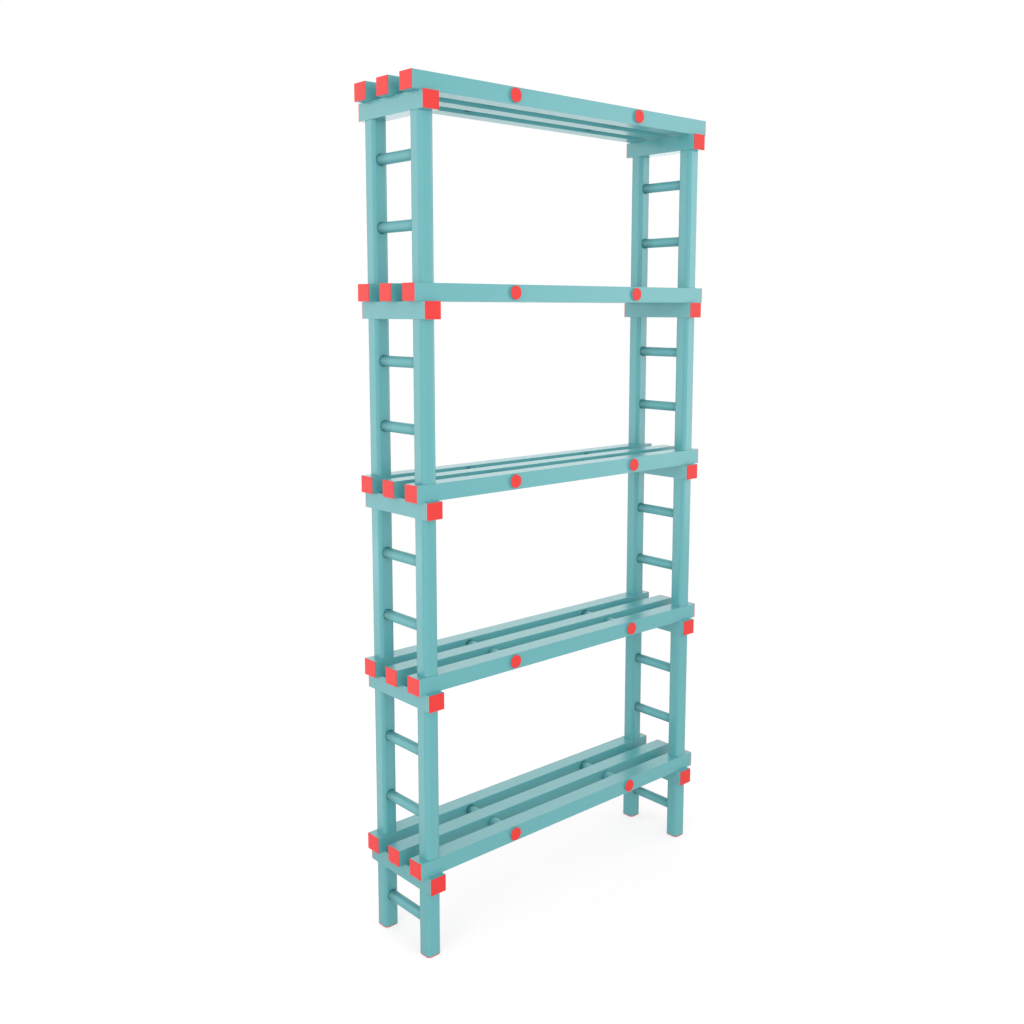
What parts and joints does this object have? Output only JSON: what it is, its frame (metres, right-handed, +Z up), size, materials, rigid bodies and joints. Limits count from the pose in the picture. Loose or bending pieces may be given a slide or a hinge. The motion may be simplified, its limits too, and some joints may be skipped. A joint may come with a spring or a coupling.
{
  "type": "plastic shelving unit",
  "caption": "Free-standing plastic storage rack: slatted tube decks on stacking ladder ends, with contrasting end caps and plugs. Each storey lifts off the one below.",
  "frame": {"origin": "on the floor, under the middle of the unit", "axes": "+Z up; +X along the decks, to the right seen from the front; -Y towards the front"},
  "size_m": [0.972, 0.24, 2.0015],
  "materials": {
    "teal_plastic": "satin extruded plastic, pale teal",
    "red_plastic": "satin moulded plastic, coral red"
  },
  "bodies": {
    "storey_1": {"front_slat_1": "teal_plastic", "middle_slat_1": "teal_plastic", "rear_slat_1": "teal_plastic", "left_tie_rod_1": "teal_plastic", "right_tie_rod_1": "teal_plastic", "left_bearer_1": "teal_plastic", "left_front_post_1": "teal_plastic", "left_rear_post_1": "teal_plastic", "right_bearer_1": "teal_plastic", "right_front_post_1": "teal_plastic", "right_rear_post_1": "teal_plastic", "left_front_foot_cap": "red_plastic", "left_rear_foot_cap": "red_plastic", "right_front_foot_cap": "red_plastic", "right_rear_foot_cap": "red_plastic"},
    "storey_2": {"front_slat_2": "teal_plastic", "middle_slat_2": "teal_plastic", "rear_slat_2": "teal_plastic", "left_tie_rod_2": "teal_plastic", "right_tie_rod_2": "teal_plastic", "left_bearer_2": "teal_plastic", "left_front_post_2": "teal_plastic", "left_rear_post_2": "teal_plastic", "right_bearer_2": "teal_plastic", "right_front_post_2": "teal_plastic", "right_rear_post_2": "teal_plastic"},
    "storey_3": {"front_slat_3": "teal_plastic", "middle_slat_3": "teal_plastic", "rear_slat_3": "teal_plastic", "left_tie_rod_3": "teal_plastic", "right_tie_rod_3": "teal_plastic", "left_bearer_3": "teal_plastic", "left_front_post_3": "teal_plastic", "left_rear_post_3": "teal_plastic", "right_bearer_3": "teal_plastic", "right_front_post_3": "teal_plastic", "right_rear_post_3": "teal_plastic"},
    "storey_4": {"front_slat_4": "teal_plastic", "middle_slat_4": "teal_plastic", "rear_slat_4": "teal_plastic", "left_tie_rod_4": "teal_plastic", "right_tie_rod_4": "teal_plastic", "left_bearer_4": "teal_plastic", "left_front_post_4": "teal_plastic", "left_rear_post_4": "teal_plastic", "right_bearer_4": "teal_plastic", "right_front_post_4": "teal_plastic", "right_rear_post_4": "teal_plastic"},
    "storey_5": {"front_slat_5": "teal_plastic", "middle_slat_5": "teal_plastic", "rear_slat_5": "teal_plastic", "left_tie_rod_5": "teal_plastic", "right_tie_rod_5": "teal_plastic", "left_bearer_5": "teal_plastic", "left_front_post_5": "teal_plastic", "left_rear_post_5": "teal_plastic", "right_bearer_5": "teal_plastic", "right_front_post_5": "teal_plastic", "right_rear_post_5": "teal_plastic"}
  },
  "joints": [
    {"name": "storey_2_lift", "type": "slide", "parent": "storey_1", "child": "storey_2", "axis": [0, 0, 1], "range_m": [0, 0.05]},
    {"name": "storey_3_lift", "type": "slide", "parent": "storey_2", "child": "storey_3", "axis": [0, 0, 1], "range_m": [0, 0.05]},
    {"name": "storey_4_lift", "type": "slide", "parent": "storey_3", "child": "storey_4", "axis": [0, 0, 1], "range_m": [0, 0.05]},
    {"name": "storey_5_lift", "type": "slide", "parent": "storey_4", "child": "storey_5", "axis": [0, 0, 1], "range_m": [0, 0.05]}
  ]
}
